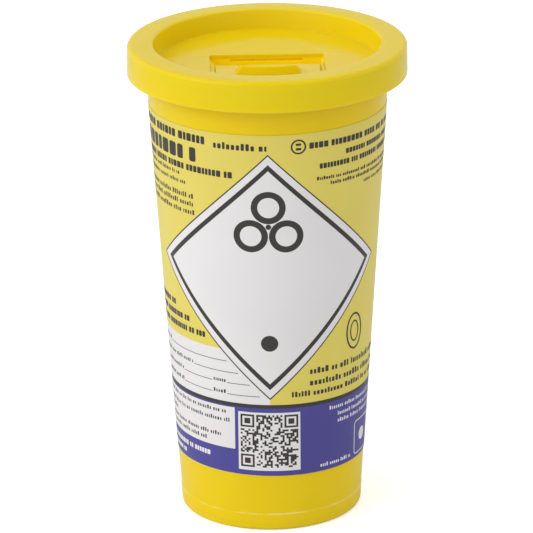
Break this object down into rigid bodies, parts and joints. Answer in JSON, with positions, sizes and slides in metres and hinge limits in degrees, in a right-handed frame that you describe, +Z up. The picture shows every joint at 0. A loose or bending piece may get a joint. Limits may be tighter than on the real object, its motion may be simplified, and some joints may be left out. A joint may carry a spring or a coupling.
{
  "type": "sharps container",
  "caption": "Tapered disposable sharps container with a press-on lid, a door that slides across its aperture, a locking catch and a wrap label.",
  "frame": {"origin": "centre of the base plane, on the tub's axis", "axes": "+Z up along the tub's axis; -Y towards the front, where the label's main panel faces; +Y is the way the door slides to close"},
  "size_m": [0.1002, 0.1002, 0.1752],
  "materials": {
    "tub_plastic": "satin moulded polypropylene, yellow",
    "lid_plastic": "satin moulded polypropylene, yellow",
    "door_plastic": "satin moulded polypropylene, yellow",
    "label_paper": "coated label stock, printed"
  },
  "bodies": {
    "tub": {"tub": "tub_plastic", "wrap_label": "label_paper"},
    "lid": {"lid": "lid_plastic"},
    "door": {"sliding_door": "door_plastic"},
    "catch": {"locking_catch": "lid_plastic"}
  },
  "joints": [
    {"name": "lid_lift", "type": "slide", "parent": "tub", "child": "lid", "axis": [0, 0, 1], "range_m": [0, 0.035]},
    {"name": "door_slide", "type": "slide", "parent": "lid", "child": "door", "axis": [0, 1, 0], "range_m": [0, 0.012]},
    {"name": "catch_flex", "type": "hinge", "parent": "lid", "child": "catch", "pos_m": [0, 0.02, 0.16435], "axis": [-1, 0, 0], "range_deg": [0, 3.4]}
  ]
}
